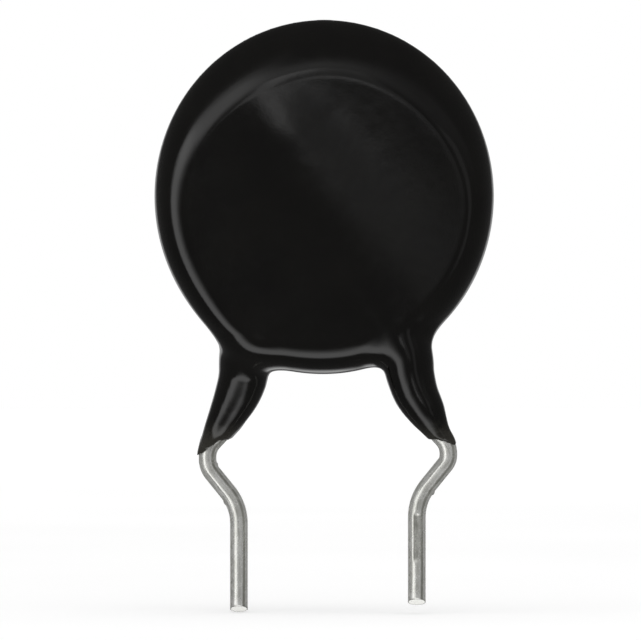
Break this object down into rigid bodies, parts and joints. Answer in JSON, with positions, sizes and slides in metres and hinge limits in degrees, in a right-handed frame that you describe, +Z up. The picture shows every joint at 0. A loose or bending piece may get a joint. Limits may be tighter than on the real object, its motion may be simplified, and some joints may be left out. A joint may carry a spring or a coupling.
{
  "type": "metal oxide varistor",
  "caption": "Metal oxide varistor: a round ceramic disc in a black dipped epoxy coating, with tinned wire leads that kink outwards below the coated legs, as a stand-off from the board.",
  "frame": {"origin": "midway between the axes of the two pins, at the height of the board's top face", "axes": "+Z up, along the pins towards the disc; +X to the right as seen from the front; -Y towards the front, the face of the disc that the right lead lies on"},
  "size_m": [0.0149, 0.004, 0.0259],
  "materials": {
    "epoxy": "black epoxy, dipped and cured, semi-gloss",
    "ceramic": "sintered zinc oxide, dark grey-green, matt",
    "silver": "printed and fired silver, matt",
    "solder": "tin solder, bright",
    "tinned_copper": "tin-plated copper wire, drawn, with faint marks from forming"
  },
  "bodies": {
    "root": {"epoxy_coating": "epoxy", "ceramic_disc": "ceramic", "front_electrode": "silver", "rear_electrode": "silver", "front_solder": "solder", "rear_solder": "solder", "left_lead": "tinned_copper", "right_lead": "tinned_copper"}
  },
  "joints": []
}
